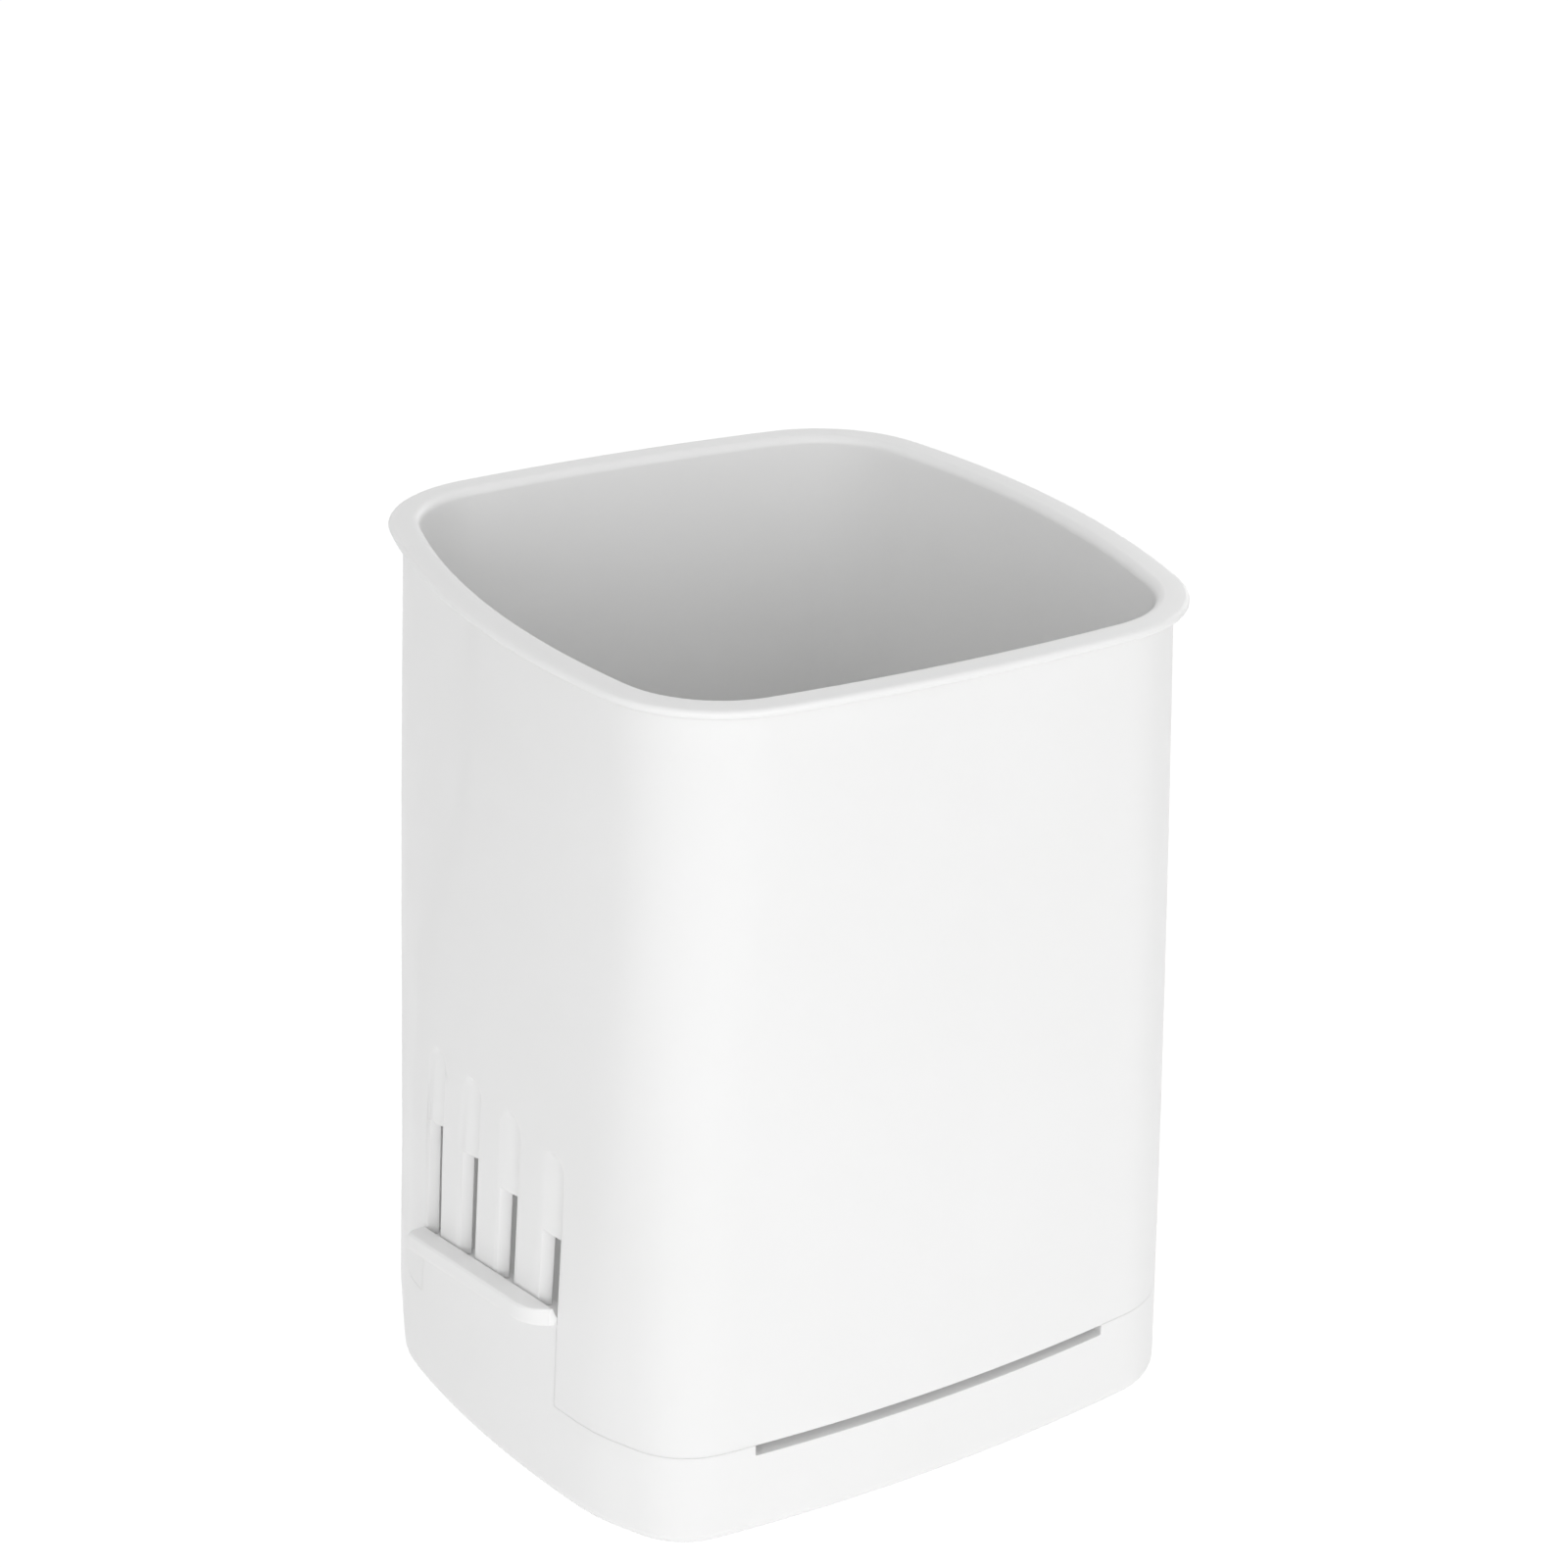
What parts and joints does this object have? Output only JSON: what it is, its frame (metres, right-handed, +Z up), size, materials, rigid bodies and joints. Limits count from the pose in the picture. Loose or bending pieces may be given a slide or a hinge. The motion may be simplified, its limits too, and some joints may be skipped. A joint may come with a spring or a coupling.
{
  "type": "wall-mounted toothbrush holder",
  "caption": "White plastic toothbrush holder for the wall, with a tapered cup, side drying vents, a pull-off drip tray with finger lips and a lift-out drain plate.",
  "frame": {"origin": "centre of the adhesive pad's back face, which lies on the wall of the room", "axes": "+Z up, +Y into the wall, so the cup stands in front of the wall at -Y; +X to the right for someone who faces the wall"},
  "size_m": [0.1002, 0.0969, 0.1105],
  "materials": {
    "cup_white": "satin white moulded plastic",
    "tray_white": "satin white moulded plastic",
    "plate_white": "satin white moulded plastic",
    "wall_plate_white": "fine-grained white moulded plastic",
    "pad_foam": "grey foam adhesive pad"
  },
  "bodies": {
    "wall_mount": {"wall_plate": "wall_plate_white", "adhesive_pad": "pad_foam"},
    "cup": {"cup_body": "cup_white"},
    "tray": {"base_tray": "tray_white"},
    "drain": {"drain_plate": "plate_white"}
  },
  "joints": [
    {"name": "cup_lift", "type": "slide", "parent": "wall_mount", "child": "cup", "axis": [0, 0, 1], "range_m": [0, 0.053]},
    {"name": "tray_pull", "type": "slide", "parent": "cup", "child": "tray", "axis": [0, 0, -1], "range_m": [0, 0.028]},
    {"name": "plate_lift", "type": "slide", "parent": "tray", "child": "drain", "axis": [0, 0, 1], "range_m": [0, 0.012]}
  ]
}
